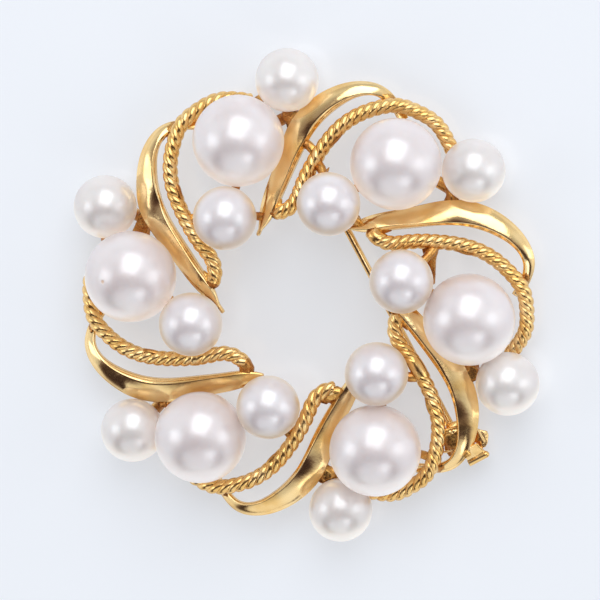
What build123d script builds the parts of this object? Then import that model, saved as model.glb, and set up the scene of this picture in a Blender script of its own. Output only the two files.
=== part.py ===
from build123d import *
from math import cos, radians, sin, sqrt
from typing import NamedTuple
import os

# A wreath brooch of six units. Each unit has a polished ribbon, a twisted wire and three pearls.
# Millimetres, face up: +Z is the face, +Y the top as worn, and the feet stand at z = 0.

# Wreath
unit_count = 6
ring_radius = 13.9

# Pearls, half drilled from below and set on posts
large_pearl_radius = 3.75
small_pearl_radius = 2.6
large_pearl_floor = 1.75
outer_pearl_floor = 0.8
inner_pearl_floor = 4.3
pearl_gap = 0.08
post_radius = 0.35
post_length = 1.6
drill_clearance = 0.06

# Cups that carry the pearls, and the feet under the outer ones
cup_wall = 0.36
cup_clearance = 0.05
cup_half_angle = 40.0
foot_radius = 0.75

# Ribbons and twisted wires
ribbon_width = 1.72
ribbon_thickness = 0.95
ribbon_height = 3.9
ribbon_lean = 16.0
wire_radius = 0.59
wire_height = 4.3

# Struts and webs of solder between the cups and the leaves
strut_radius = 0.36
web_radius = 0.5
web_knot_radius = 0.66
web_knot_height = 1.2
knot_height = 2.5

# Pin stem and its hinge
stem_radius = 0.3
stem_height = 1.8
stem_point_length = 3.6
stem_point_radius = 0.06
stem_root_radius = 0.36
stem_root_length = 2.5
stem_past_catch = 0.5
eye_radius = 0.75
eye_width = 0.7
ear_radius = 0.8
ear_thickness = 0.42
hinge_gap = 0.06
rivet_radius = 0.28
rivet_clearance = 0.05
rivet_head_radius = 0.46
rivet_head_thickness = 0.2
hinge_bridge_height = 1.0

# Safety catch: a C shaped shell with a turning roller inside
catch_length = 2.8
shell_wall = 0.3
roller_wall = 0.3
roller_bore_gap = 0.2
roller_clearance = 0.06
mouth_width = 0.8
lever_width = 1.3
lever_reach = 1.85
lever_thickness = 0.34
lever_tip_width = 2.0
lever_tip_length = 0.4
lever_gap = 0.08
saddle_width = 1.3


class Unit(NamedTuple):
    """How the pearls of one hand made unit stray: turns in degrees, the rest as shares."""

    large_turn: float
    large_out: float
    outer_turn: float
    inner_turn: float
    inner_rise: float


UNITS = [
    Unit(-1.8, -0.002, -2.7, -4.3, 0.0),
    Unit(1.0, -0.027, -1.5, 5.1, 0.3),
    Unit(-0.2, -0.004, 1.9, 2.5, 0.2),
    Unit(2.1, -0.016, 2.0, 1.1, -0.15),
    Unit(-0.5, 0.024, 1.6, -1.8, -0.2),
    Unit(-0.6, 0.030, -1.3, -2.4, -0.2),
]


class Stray(NamedTuple):
    """How one ribbon or wire strays: a turn in degrees, then shifts as shares of ring_radius."""

    turn: float
    out: float
    side: float


RIBBON_STRAYS = [
    Stray(-2.0, -0.009, 0.053),
    Stray(-0.5, -0.026, 0.002),
    Stray(-0.4, 0.015, -0.032),
    Stray(-0.4, -0.012, 0.015),
    Stray(2.5, 0.0, -0.047),
    Stray(0.7, 0.032, 0.009),
]
WIRE_STRAYS = [
    Stray(0.7, -0.004, 0.023),
    Stray(0.8, -0.021, -0.015),
    Stray(-2.2, 0.015, -0.005),
    Stray(-1.2, -0.003, 0.026),
    Stray(-1.9, 0.002, 0.020),
    Stray(3.8, 0.010, -0.048),
]
LARGE_ANGLE = 113.7
OUTER_BEARING = 55.4
INNER_BEARING = -94.0
LEAF_ANGLE = 140.0
KNOT_ANGLE = 95.3
KNOT_OUT = 1.07


class Station(NamedTuple):
    """A point of a ribbon or wire: degrees, then shares of ring_radius, the height and the width."""

    angle: float
    out: float
    height: float
    width: float


RIBBON_STATIONS = [
    Station(-177.8, 0.497, 1.00, 0.20),
    Station(174.9, 0.551, 1.00, 0.67),
    Station(167.1, 0.647, 0.97, 0.92),
    Station(159.3, 0.785, 0.91, 1.02),
    Station(149.9, 1.050, 0.85, 1.20),
    Station(140.9, 1.226, 0.83, 0.97),
    Station(135.7, 1.292, 0.80, 0.77),
    Station(130.9, 1.310, 0.73, 0.56),
    Station(125.9, 1.265, 0.62, 0.40),
]
WIRE_STATIONS = [
    Station(174.0, 0.572, 0.90, 0.80),
    Station(169.0, 0.552, 0.94, 0.95),
    Station(162.1, 0.549, 0.98, 1.0),
    Station(155.7, 0.587, 1.00, 1.0),
    Station(151.6, 0.671, 0.98, 1.0),
    Station(144.8, 0.858, 0.91, 1.0),
    Station(137.3, 1.062, 0.86, 1.0),
    Station(133.0, 1.146, 0.84, 1.0),
    Station(128.7, 1.213, 0.79, 1.0),
    Station(124.1, 1.268, 0.72, 1.0),
    Station(119.1, 1.284, 0.62, 1.0),
    Station(113.5, 1.264, 0.51, 1.0),
    Station(109.5, 1.227, 0.42, 0.95),
]
RIBBON_TIP = RIBBON_STATIONS[1]
WIRE_END = WIRE_STATIONS[-1]


def polar(angle, radius, height):
    return Vector(radius * cos(radians(angle)), radius * sin(radians(angle)), height)


def unit_angle(index):
    return -360 * index / unit_count


def beside(centre, bearing, reach, height):
    """The point at a height whose distance from the centre is the reach, on a compass bearing."""
    plan = sqrt(reach**2 - (height - centre.Z) ** 2)
    return polar(bearing, plan, height) + Vector(centre.X, centre.Y, 0)


# Pearl centres
pearl_reach = large_pearl_radius + small_pearl_radius + pearl_gap
large_centres = []
outer_centres = []
inner_centres = []
for index, unit in enumerate(UNITS):
    large = polar(
        LARGE_ANGLE + unit.large_turn + unit_angle(index),
        ring_radius * (1 + unit.large_out),
        large_pearl_floor + large_pearl_radius,
    )
    large_centres.append(large)
    outer_centres.append(
        beside(
            large,
            OUTER_BEARING + unit.outer_turn + unit_angle(index),
            pearl_reach,
            outer_pearl_floor + small_pearl_radius,
        )
    )
    inner_centres.append(
        beside(
            large,
            INNER_BEARING + unit.inner_turn + unit_angle(index),
            pearl_reach,
            inner_pearl_floor + small_pearl_radius * (1 + unit.inner_rise),
        )
    )

# The outer pearls set the outline, so the middle of their box is brought to the origin.
reach_x = [p.X for p in outer_centres]
reach_y = [p.Y for p in outer_centres]
middle = Vector((min(reach_x) + max(reach_x)) / 2, (min(reach_y) + max(reach_y)) / 2, 0)
large_centres = [p - middle for p in large_centres]
outer_centres = [p - middle for p in outer_centres]
inner_centres = [p - middle for p in inner_centres]
small_centres = outer_centres + inner_centres


def place(index, strays):
    """Where the first unit's ribbon or wire goes to stand in another unit."""
    stray = strays[index]
    outward = LEAF_ANGLE + unit_angle(index)
    shift = polar(outward, ring_radius * stray.out, 0)
    shift += polar(outward + 90, ring_radius * stray.side, 0)
    return Location(shift - middle, (0, 0, stray.turn + unit_angle(index)))


def on_ribbon(index, angle, out, height):
    """A point given beside the first unit's ribbon, carried to another unit's."""
    return (place(index, RIBBON_STRAYS) * Location(polar(angle, ring_radius * out, height))).position


def on_wire(index, angle, out, height):
    """A point given beside the first unit's wire, carried to another unit's."""
    return (place(index, WIRE_STRAYS) * Location(polar(angle, ring_radius * out, height))).position


def line_of(stations, top):
    return [polar(s.angle, ring_radius * s.out, top * s.height) for s in stations]


def section_planes(points, lean):
    """A plane across the line at each point, with its X outward and down by the lean."""
    planes = []
    for i, point in enumerate(points):
        ahead = (points[min(i + 1, len(points) - 1)] - points[max(i - 1, 0)]).normalized()
        outward = Vector(0, 0, 1).cross(ahead).normalized()
        upward = ahead.cross(outward)
        sideways = outward * cos(radians(lean)) - upward * sin(radians(lean))
        planes.append(Plane(origin=point, x_dir=sideways, z_dir=ahead))
    return planes


# The ribbon of the first unit
ribbon_line = line_of(RIBBON_STATIONS, ribbon_height)
with BuildPart() as ribbon:
    for station, plane in zip(RIBBON_STATIONS, section_planes(ribbon_line, ribbon_lean)):
        half = ribbon_width * station.width / 2
        thick = ribbon_thickness * min(max(station.width, 0.5), 1)
        with BuildSketch(plane):
            with BuildLine():
                crown = ThreePointArc((-half, -0.1 * thick), (0, 0.5 * thick), (half, -0.1 * thick))
                Polyline(crown @ 1, (half, -0.35 * thick), (-half, -0.35 * thick), crown @ 0)
            make_face()
    loft()

# The twisted wire of the first unit, which is a round bar here
wire_line = line_of(WIRE_STATIONS, wire_height)
with BuildPart() as wire:
    for station, plane in zip(WIRE_STATIONS, section_planes(wire_line, 0)):
        with BuildSketch(plane):
            Circle(wire_radius * station.width)
    loft()


def cap(radius):
    """The solid bowl that a pearl's seat is hollowed from, round the pearl's centre."""
    outside = radius + cup_clearance + cup_wall
    with BuildPart() as bowl:
        with BuildSketch(Plane.XZ):
            with BuildLine():
                rim = CenterArc((0, 0), outside, -90, cup_half_angle)
                Polyline(rim @ 1, (0, (rim @ 1).Y), rim @ 0)
            make_face()
        revolve(axis=Axis.Z)
    return bowl.part


def rod(start, end, radius):
    """A round bar between two points."""
    with BuildPart() as bar:
        with BuildSketch(Plane(origin=start, z_dir=end - start)):
            Circle(radius)
        extrude(amount=(end - start).length)
    return bar.part


def cup_point(centre, radius, toward):
    """A point inside a cup's wall, on the side that faces another point."""
    level = Vector(toward.X - centre.X, toward.Y - centre.Y, 0).normalized()
    reach = radius + cup_clearance + cup_wall / 2
    low = radians(cup_half_angle * 0.75)
    return centre + level * (reach * sin(low)) - Vector(0, 0, reach * cos(low))


# Struts and webs
bars = []
knots = []
for i in range(unit_count):
    following = (i + 1) % unit_count
    knot = polar(KNOT_ANGLE + unit_angle(i), ring_radius * KNOT_OUT, knot_height) - middle
    knots.append(knot)
    bars.append(rod(knot, cup_point(large_centres[i], large_pearl_radius, knot), web_radius))
    bars.append(rod(knot, cup_point(outer_centres[i], small_pearl_radius, knot), web_radius))
    bars.append(rod(knot, on_ribbon(following, 154.0, 0.96, ribbon_height * 0.84), web_radius))
    wire_side = on_wire(i, 144.8, 0.858, wire_height * 0.88)
    tip_side = on_ribbon(following, RIBBON_TIP.angle, RIBBON_TIP.out, ribbon_height * 0.95)
    for side in (wire_side, tip_side):
        bars.append(rod(side, cup_point(inner_centres[i], small_pearl_radius, side), strut_radius))
    wire_end = on_wire(i, WIRE_END.angle + 0.7, WIRE_END.out, wire_height * WIRE_END.height)
    bars.append(rod(wire_end, cup_point(outer_centres[i], small_pearl_radius, wire_end), web_radius))
    low = cup_point(large_centres[i], large_pearl_radius, inner_centres[i])
    high = cup_point(inner_centres[i], small_pearl_radius, large_centres[i])
    bars.append(rod(low, high, strut_radius))

# Two odd ties that only one unit each has
ribbon_tie = on_ribbon(1, 152.4, 1.02, ribbon_height * 0.8)
bars.append(rod(ribbon_tie, on_wire(1, 146.6, 0.87, wire_height * 0.88), strut_radius))
wire_tie = on_wire(3, 128.7, 1.213, wire_height * 0.76)
bars.append(rod(wire_tie, cup_point(large_centres[3], large_pearl_radius, wire_tie), strut_radius))

# Pin line: from the hinge under the second inner pearl to the catch under the fourth ribbon
hinge_point = polar(75.4, ring_radius * 0.561, stem_height) - middle
catch_point = polar(-44.1, ring_radius * 1.232, stem_height) - middle
along = (catch_point - hinge_point).normalized()
across = Vector(0, 0, 1).cross(along)
pin_span = (catch_point - hinge_point).length

# Hinge plane: X along the pin, Y up, Z along the rivet
hinge_plane = Plane(origin=hinge_point, x_dir=along, z_dir=-across)
ear_inside = eye_width / 2 + hinge_gap
ear_outside = ear_inside + ear_thickness
bridge_floor = ear_radius + hinge_gap
bridge_top = bridge_floor + hinge_bridge_height

with BuildPart() as hinge_ears:
    for side in (-1, 1):
        with BuildSketch(hinge_plane.offset(side * ear_inside)):
            Circle(ear_radius)
            with Locations((0, bridge_top / 2)):
                Rectangle(2 * ear_radius, bridge_top)
            Circle(rivet_radius + rivet_clearance, mode=Mode.SUBTRACT)
        extrude(amount=side * ear_thickness)
    with BuildSketch(hinge_plane.offset(-ear_outside)):
        with Locations((0, (bridge_floor + bridge_top) / 2)):
            Rectangle(2 * ear_radius, bridge_top - bridge_floor)
    extrude(amount=2 * ear_outside)
    hinge_top = hinge_point + Vector(0, 0, (bridge_floor + bridge_top) / 2)
    ribbon_tip = on_ribbon(2, RIBBON_TIP.angle, RIBBON_TIP.out, ribbon_height * 0.95)
    add(rod(hinge_top, ribbon_tip, web_radius))
    add(rod(hinge_top, cup_point(inner_centres[1], small_pearl_radius, hinge_point), web_radius))

# Catch plane: X across the pin, Y up, Z along the pin
catch_plane = Plane(origin=catch_point, x_dir=across, z_dir=along)
roller_bore = stem_radius + roller_bore_gap
roller_radius = roller_bore + roller_wall
shell_bore = roller_radius + roller_clearance
shell_radius = shell_bore + shell_wall
saddle_top = shell_radius + ribbon_thickness / 2

with BuildPart() as catch_shell:
    with BuildSketch(catch_plane.offset(-catch_length / 2)):
        Circle(shell_radius)
        with Locations((0, saddle_top / 2)):
            Rectangle(saddle_width, saddle_top)
    extrude(amount=catch_length)
    shell_side = catch_point + Vector(0, 0, shell_radius * 0.9) - along * (catch_length * 0.3)
    add(rod(shell_side, on_wire(3, 133.0, 1.146, wire_height * 0.8), web_radius))

with BuildPart() as catch_room:
    with BuildSketch(catch_plane.offset(-catch_length / 2 - lever_gap)):
        Circle(shell_bore)
        with Locations((0, -shell_radius)):
            Rectangle(mouth_width + 2 * roller_clearance, 2 * shell_radius)
    extrude(amount=catch_length + stem_past_catch + 1)
    with BuildSketch(catch_plane.offset(-lever_width / 2 - lever_gap)):
        with Locations((0, lever_thickness / 2 + lever_gap - shell_radius)):
            Rectangle(2.4 * shell_radius, 2 * shell_radius)
    extrude(amount=lever_width + 2 * lever_gap)

# Wreath frame: everything that is soldered together
with BuildPart() as wreath_frame:
    with Locations([place(i, RIBBON_STRAYS) for i in range(unit_count)]):
        add(ribbon.part)
    with Locations([place(i, WIRE_STRAYS) for i in range(unit_count)]):
        add(wire.part)
    with Locations(large_centres):
        add(cap(large_pearl_radius))
    with Locations(small_centres):
        add(cap(small_pearl_radius))
    foot_top = outer_pearl_floor - cup_clearance
    with Locations([Vector(p.X, p.Y, 0) for p in outer_centres]):
        Cylinder(foot_radius, foot_top, align=(Align.CENTER, Align.CENTER, Align.MIN))
    add(bars)
    with Locations(knots):
        Cylinder(web_knot_radius, web_knot_height)
    add(hinge_ears.part)
    add(catch_shell.part)
    with Locations(large_centres):
        Sphere(large_pearl_radius + cup_clearance, mode=Mode.SUBTRACT)
    with Locations(small_centres):
        Sphere(small_pearl_radius + cup_clearance, mode=Mode.SUBTRACT)
    for centres, radius in ((large_centres, large_pearl_radius), (small_centres, small_pearl_radius)):
        foot_of_post = radius + cup_clearance + cup_wall / 2
        with Locations([p - Vector(0, 0, foot_of_post) for p in centres]):
            Cylinder(
                post_radius,
                post_length + foot_of_post - radius,
                align=(Align.CENTER, Align.CENTER, Align.MIN),
            )
    add(catch_room.part, mode=Mode.SUBTRACT)


def pearl(centre, radius):
    """A pearl, half drilled from below."""
    with BuildPart() as bead:
        with Locations(centre):
            Sphere(radius)
        with Locations(centre - Vector(0, 0, radius)):
            Cylinder(
                post_radius + drill_clearance,
                post_length + drill_clearance,
                align=(Align.CENTER, Align.CENTER, Align.MIN),
                mode=Mode.SUBTRACT,
            )
    return bead.part


# Pin stem: the eye, the thicker root, the straight wire and its point
stem_length = pin_span + catch_length / 2 + stem_past_catch
stem_plane = Plane(origin=hinge_point, x_dir=across, z_dir=along)
with BuildPart() as pin_stem:
    with BuildSketch(hinge_plane.offset(-eye_width / 2)):
        Circle(eye_radius)
    extrude(amount=eye_width)
    with BuildSketch(stem_plane):
        Circle(stem_root_radius)
    with BuildSketch(stem_plane.offset(stem_root_length)):
        Circle(stem_radius)
    loft()
    with BuildSketch(stem_plane):
        Circle(stem_radius)
    extrude(amount=stem_length - stem_point_length)
    with BuildSketch(stem_plane.offset(stem_length - stem_point_length)):
        Circle(stem_radius)
    with BuildSketch(stem_plane.offset(stem_length)):
        Circle(stem_point_radius)
    loft()
    with BuildSketch(hinge_plane.offset(-eye_width)):
        Circle(rivet_radius + rivet_clearance)
    extrude(amount=2 * eye_width, mode=Mode.SUBTRACT)

# Hinge rivet: a pin with two heads
with BuildPart() as hinge_rivet:
    with BuildSketch(hinge_plane.offset(-ear_outside - rivet_clearance)):
        Circle(rivet_radius)
    extrude(amount=2 * (ear_outside + rivet_clearance))
    for side in (-1, 1):
        with BuildSketch(hinge_plane.offset(side * (ear_outside + rivet_clearance))):
            Circle(rivet_head_radius)
        extrude(amount=side * rivet_head_thickness)

# Catch lever: the slotted roller and its thumb tab
with BuildPart() as catch_lever:
    with BuildSketch(catch_plane.offset(-catch_length / 2)):
        Circle(roller_radius)
    extrude(amount=catch_length)
    with BuildSketch(catch_plane.offset(-lever_width / 2)):
        with Locations((lever_reach / 2, 0)):
            Rectangle(lever_reach, lever_thickness)
    extrude(amount=lever_width)
    with BuildSketch(catch_plane.offset(-lever_tip_width / 2)):
        with Locations((lever_reach - lever_tip_length / 2, 0)):
            Rectangle(lever_tip_length, lever_thickness)
    extrude(amount=lever_tip_width)
    with BuildSketch(catch_plane.offset(-catch_length)):
        Circle(roller_bore)
        with Locations((0, -roller_radius)):
            Rectangle(mouth_width, 2 * roller_radius)
    extrude(amount=2 * catch_length, mode=Mode.SUBTRACT)

# Labels and files
pieces = {
    "wreath_frame": wreath_frame.part,
    "pin_stem": pin_stem.part,
    "hinge_rivet": hinge_rivet.part,
    "catch_lever": catch_lever.part,
}
for i in range(unit_count):
    pieces[f"pearl_large_{i + 1}"] = pearl(large_centres[i], large_pearl_radius)
    pieces[f"pearl_outer_{i + 1}"] = pearl(outer_centres[i], small_pearl_radius)
    pieces[f"pearl_inner_{i + 1}"] = pearl(inner_centres[i], small_pearl_radius)

os.makedirs("parts", exist_ok=True)
for name, piece in pieces.items():
    piece.label = name
    export_step(piece, f"parts/{name}.step")
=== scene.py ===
from math import cos, pi, radians, sin, sqrt
from typing import NamedTuple

import bmesh
import bpy
import numpy as np
from mathutils import Matrix, Vector
from mathutils.bvhtree import BVHTree
from mathutils.kdtree import KDTree


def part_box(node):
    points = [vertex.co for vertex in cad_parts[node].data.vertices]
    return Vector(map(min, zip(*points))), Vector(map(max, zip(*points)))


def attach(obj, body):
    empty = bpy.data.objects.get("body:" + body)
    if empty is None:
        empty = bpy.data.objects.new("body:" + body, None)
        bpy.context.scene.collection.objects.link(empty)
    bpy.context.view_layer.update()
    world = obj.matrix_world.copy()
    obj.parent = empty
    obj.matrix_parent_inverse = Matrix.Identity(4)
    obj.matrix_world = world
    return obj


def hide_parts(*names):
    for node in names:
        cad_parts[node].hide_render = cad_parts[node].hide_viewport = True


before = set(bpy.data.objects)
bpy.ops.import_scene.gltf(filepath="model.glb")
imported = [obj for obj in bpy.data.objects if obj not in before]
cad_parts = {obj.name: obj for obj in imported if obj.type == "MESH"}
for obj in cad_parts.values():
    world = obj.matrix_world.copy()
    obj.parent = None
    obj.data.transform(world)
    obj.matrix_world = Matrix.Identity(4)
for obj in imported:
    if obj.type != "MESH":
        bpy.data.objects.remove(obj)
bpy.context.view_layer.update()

# A wreath brooch: gold ribbons, twisted gold wires and pearls, on a pin with a safety catch.
# Metres throughout: lengths are written in millimetres and brought to metres by MM. Angles are written in
# degrees, and places in the photo as pixels from its top left corner.

MM = 0.001

# Wreath: how far out the leaves stand, where the first one is, and the middle of the brooch
UNIT_COUNT = 6
RING = 13.9 * MM
LEAF_ANGLE = 140.0
MIDDLE = Vector((-0.076 * MM, 0.136 * MM, 0))

# Ribbons: their stations give heights as shares of RIBBON_TOP, and their lines have RIBBON_STEPS points
RIBBON_WIDTH = 1.72 * MM
RIBBON_THICKNESS = 0.95 * MM
RIBBON_TOP = 3.9 * MM
RIBBON_EDGE = 0.1 * MM
RIBBON_STEPS = 150

# Twisted wires, in the same way. A wire's pitch is how far along it one strand goes round once.
WIRE_RADIUS = 0.64 * MM
WIRE_TOP = 4.3 * MM
WIRE_STEPS = 320
STRANDS = 3
STRAND_RADIUS = 0.375 * MM
STRAND_SIDES = 16
CORE_RADIUS = 0.3 * MM
CORE_SIDES = 28
PITCHES = [2.32 * MM, 2.13 * MM, 2.22 * MM, 2.38 * MM, 2.48 * MM, 2.28 * MM]
STEPS_PER_TURN = 22

# Turn in degrees, then shifts outward and sideways as shares of RING, for each ribbon and wire
RIBBON_STRAYS = [
    (-2.0, -0.009, 0.053),
    (-0.5, -0.026, 0.002),
    (-0.4, 0.015, -0.032),
    (-0.4, -0.012, 0.015),
    (2.5, 0.0, -0.047),
    (0.7, 0.032, 0.009),
]
WIRE_STRAYS = [
    (0.7, -0.004, 0.023),
    (0.8, -0.021, -0.015),
    (-2.2, 0.015, -0.005),
    (-1.2, -0.003, 0.026),
    (-1.9, 0.002, 0.020),
    (3.8, 0.010, -0.048),
]

# Ribbons: degrees, then shares of RING and of RIBBON_TOP, then how far the ribbon reaches outward and
# inward of its line, as shares of RIBBON_WIDTH
RIBBON_STATIONS = [
    (-177.8, 0.497, 1.00, 0.10, 0.10),
    (-185.1, 0.551, 1.00, 0.36, 0.32),
    (-192.9, 0.647, 0.97, 0.50, 0.43),
    (-200.7, 0.785, 0.91, 0.57, 0.46),
    (-210.1, 1.050, 0.85, 0.65, 0.57),
    (-219.1, 1.226, 0.83, 0.51, 0.47),
    (-224.3, 1.292, 0.80, 0.37, 0.37),
    (-229.1, 1.310, 0.73, 0.29, 0.29),
    (-234.1, 1.265, 0.62, 0.25, 0.24),
    (-238.0, 1.208, 0.60, 0.26, 0.24),
]
# Wires: degrees, then shares of RING and of WIRE_TOP, then the share of their thickness
WIRE_STATIONS = [
    (174.0, 0.572, 0.90, 0.80),
    (169.0, 0.552, 0.94, 0.95),
    (162.1, 0.549, 0.98, 1.0),
    (155.7, 0.587, 1.00, 1.0),
    (151.6, 0.671, 0.98, 1.0),
    (144.8, 0.858, 0.91, 1.0),
    (137.3, 1.062, 0.86, 1.0),
    (133.0, 1.146, 0.84, 1.0),
    (128.7, 1.213, 0.79, 1.0),
    (124.1, 1.268, 0.72, 1.0),
    (119.1, 1.284, 0.62, 1.0),
    (113.5, 1.283, 0.51, 1.0),
    (109.5, 1.252, 0.42, 1.0),
    (105.6, 1.213, 0.36, 0.9),
]


def polar(angle, radius, height=0.0):
    return Vector((radius * cos(radians(angle)), radius * sin(radians(angle)), height))


def unit_angle(index):
    return -360 * index / UNIT_COUNT


def placed(points, index, stray):
    """Points of the first unit's leaf, carried to another unit's leaf."""
    turn, out, side = stray
    outward = LEAF_ANGLE + unit_angle(index)
    shift = polar(outward, RING * out) + polar(outward + 90, RING * side) - MIDDLE
    angle = radians(turn + unit_angle(index))
    spin = np.array([[cos(angle), sin(angle), 0], [-sin(angle), cos(angle), 0], [0, 0, 1]])
    return np.asarray(points) @ spin + np.array(shift)


def spline(rows, count):
    """Evenly many values of a smooth curve through the rows, whose first three numbers are a point."""
    rows = np.asarray(rows, float)
    chord = np.linalg.norm(np.diff(rows[:, :3], axis=0), axis=1)
    at = np.concatenate([[0], np.cumsum(chord)])
    n = len(at)
    matrix = np.eye(n)
    right = np.zeros_like(rows)
    for i in range(1, n - 1):
        matrix[i, i - 1 : i + 2] = (chord[i - 1], 2 * (chord[i - 1] + chord[i]), chord[i])
        right[i] = 6 * ((rows[i + 1] - rows[i]) / chord[i] - (rows[i] - rows[i - 1]) / chord[i - 1])
    bend = np.linalg.solve(matrix, right)
    s = np.linspace(0, at[-1], count)
    i = np.clip(np.searchsorted(at, s, side="right") - 1, 0, n - 2)
    h = chord[i][:, None]
    a = (at[i + 1] - s)[:, None]
    b = (s - at[i])[:, None]
    return (
        (bend[i] * a**3 + bend[i + 1] * b**3) / (6 * h)
        + (rows[i] / h - bend[i] * h / 6) * a
        + (rows[i + 1] / h - bend[i + 1] * h / 6) * b
    )


def leaf_line(stations, top, count):
    """The smooth line of the first unit's leaf, and what else its stations give, point by point."""
    rows = [(*polar(angle, RING * out, top * height), *rest) for angle, out, height, *rest in stations]
    line = spline(rows, count)
    return line[:, :3], line[:, 3:]


# The camera's directions. A pixel of the photo is PHOTO_SCALE wide, and the brooch's middle is seen at
# PHOTO_MIDDLE.
SIGHT = Vector((0.1807, 0.08426, 0.97992)).normalized()
RIGHT = Vector((0.98351, -0.00769, -0.18069)).normalized()
UP = SIGHT.cross(RIGHT).normalized()
PHOTO_SCALE = 0.0814 * MM
PHOTO_MIDDLE = (314.3, 293.3)


def photo_point(x, y, height):
    """The point at a height that the photo shows at a pixel."""
    right = (x - PHOTO_MIDDLE[0]) * PHOTO_SCALE
    up = (PHOTO_MIDDLE[1] - y) * PHOTO_SCALE
    start = RIGHT * right + UP * up
    return start + SIGHT * ((height - start.z) / SIGHT.z) - MIDDLE


def pearl_round(node):
    """The middle and the radius of a pearl, whose cup hides its drilled lower side."""
    low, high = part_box(node)
    radius = (high.x - low.x) / 2
    return Vector(((low.x + high.x) / 2, (low.y + high.y) / 2, high.z - radius)), radius


def on_pearl(node, x, y):
    """The point of a pearl's skin that the photo shows at a pixel."""
    centre, radius = pearl_round(node)
    start = photo_point(x, y, centre.z) - centre
    aside = start - SIGHT * start.dot(SIGHT)
    return centre + aside + SIGHT * sqrt(radius**2 - aside.length_squared)


# Meshes

# Points of a solid's mesh that are nearer than this are one point
SAME_POINT = 0.001 * MM


def link(name, data):
    """A new object of the scene for a mesh, a light or a camera."""
    obj = bpy.data.objects.new(name, data)
    bpy.context.scene.collection.objects.link(obj)
    return obj


def plain_mesh(name, points, faces):
    """A smooth mesh from its points and faces."""
    mesh = bpy.data.meshes.new(name)
    mesh.from_pydata([tuple(p) for p in points], [], faces)
    mesh.validate()
    mesh.shade_smooth()
    return mesh


def store(mesh, name, values):
    """Keeps a number for each point of a mesh, for the materials and the node trees to read."""
    mesh.attributes.new(name, "FLOAT", "POINT").data.foreach_set("value", np.asarray(values, np.float32))


def joined_rings(shell, low, high):
    """The side faces between two rings of points."""
    for k in range(len(low)):
        after = (k + 1) % len(low)
        shell.faces.new((low[k], low[after], high[after], high[k]))


def finished(obj, name):
    """The object's shape with its modifiers taken in, as a plain mesh under a new name."""
    graph = bpy.context.evaluated_depsgraph_get()
    mesh = bpy.data.meshes.new_from_object(obj.evaluated_get(graph), depsgraph=graph)
    bpy.data.objects.remove(obj)
    mesh.name = name
    return link(name, mesh)


def give(obj, material, body, slot, *nodes):
    """Finishes a piece: its material, the body that it rides on, and the nodes that it stands for."""
    obj.data.materials.clear()
    obj.data.materials.append(material)
    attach(obj, body)
    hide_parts(*nodes)
    return obj


# Node trees


class Value:
    """An output of a node, on which sums add their Math nodes."""

    def __init__(self, tree, socket):
        self.tree = tree
        self.socket = socket

    def __add__(self, other):
        return maths(self.tree, "ADD", self, other)

    def __sub__(self, other):
        return maths(self.tree, "SUBTRACT", self, other)

    def __mul__(self, other):
        return maths(self.tree, "MULTIPLY", self, other)

    def __truediv__(self, other):
        return maths(self.tree, "DIVIDE", self, other)


class Tree:
    """A node tree that is written from Python."""

    def __init__(self, tree):
        self.tree = tree

    def node(self, kind, settings=None, inputs=None):
        """Adds a node: first its settings, then the values or links of its sockets. Gives its outputs."""
        made = self.tree.nodes.new(kind)
        for key, value in (settings or {}).items():
            setattr(made, key, value)
        for key, value in (inputs or {}).items():
            socket = self.find(made.inputs, key)
            if isinstance(value, Value):
                self.tree.links.new(value.socket, socket)
            elif value is not None:
                socket.default_value = value
        return Outputs(self, made)

    @staticmethod
    def find(sockets, key):
        """A socket by its place, or the first one in use by its name."""
        if isinstance(key, int):
            return sockets[key]
        return next(s for s in sockets if s.enabled and key in (s.name, s.identifier))


class Outputs:
    """The outputs of one node, by place or by name."""

    def __init__(self, tree, made):
        self.tree = tree
        self.made = made

    def __getitem__(self, key):
        return Value(self.tree, Tree.find(self.made.outputs, key))


def maths(tree, operation, *values):
    """A Math node on one, two or three numbers."""
    return tree.node("ShaderNodeMath", {"operation": operation}, dict(enumerate(values)))[0]


def vector(tree, operation, a, b=None, scale=None):
    """A Vector Math node on two vectors, or on one and a number."""
    out = "Value" if operation in ("LENGTH", "DOT_PRODUCT", "DISTANCE") else "Vector"
    inputs = {0: a, 1: b}
    if scale is not None:
        inputs["Scale"] = scale
    return tree.node("ShaderNodeVectorMath", {"operation": operation}, inputs)[out]


def mix(tree, factor, a, b):
    """Colour a where the factor is 0, going over to b where it is 1."""
    return tree.node("ShaderNodeMix", {"data_type": "RGBA"}, {"Factor": factor, "A": a, "B": b})["Result"]


def smooth_step(tree, value, low, high, start=0.0, end=1.0):
    """A number that goes softly from start to end while the value goes from low to high."""
    return tree.node(
        "ShaderNodeMapRange",
        {"interpolation_type": "SMOOTHSTEP"},
        {"Value": value, "From Min": low, "From Max": high, "To Min": start, "To Max": end},
    )["Result"]


def object_place(tree):
    return tree.node("ShaderNodeTexCoord")["Object"]


def kept_number(tree, name):
    """A number that the mesh keeps for each of its points."""
    return tree.node("ShaderNodeAttribute", {"attribute_name": name})["Fac"]


def noise(tree, size, detail=2.0, roughness=0.5, place=None):
    """Noise whose patches have the given size in metres."""
    place = place or object_place(tree)
    return tree.node(
        "ShaderNodeTexNoise",
        {},
        {"Vector": place, "Scale": 1 / size, "Detail": detail, "Roughness": roughness},
    )["Fac"]


# Materials


def material(name):
    """A new material and its empty node tree."""
    made = bpy.data.materials.new(name)
    made.use_nodes = True
    made.node_tree.nodes.clear()
    return made, Tree(made.node_tree)


def shader(tree, **inputs):
    """A Principled shader whose inputs are named with an underscore for each space."""
    named = {name.replace("_", " "): value for name, value in inputs.items()}
    surface = tree.node("ShaderNodeBsdfPrincipled", {}, named)
    tree.node("ShaderNodeOutputMaterial", {}, {"Surface": surface["BSDF"]})


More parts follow.
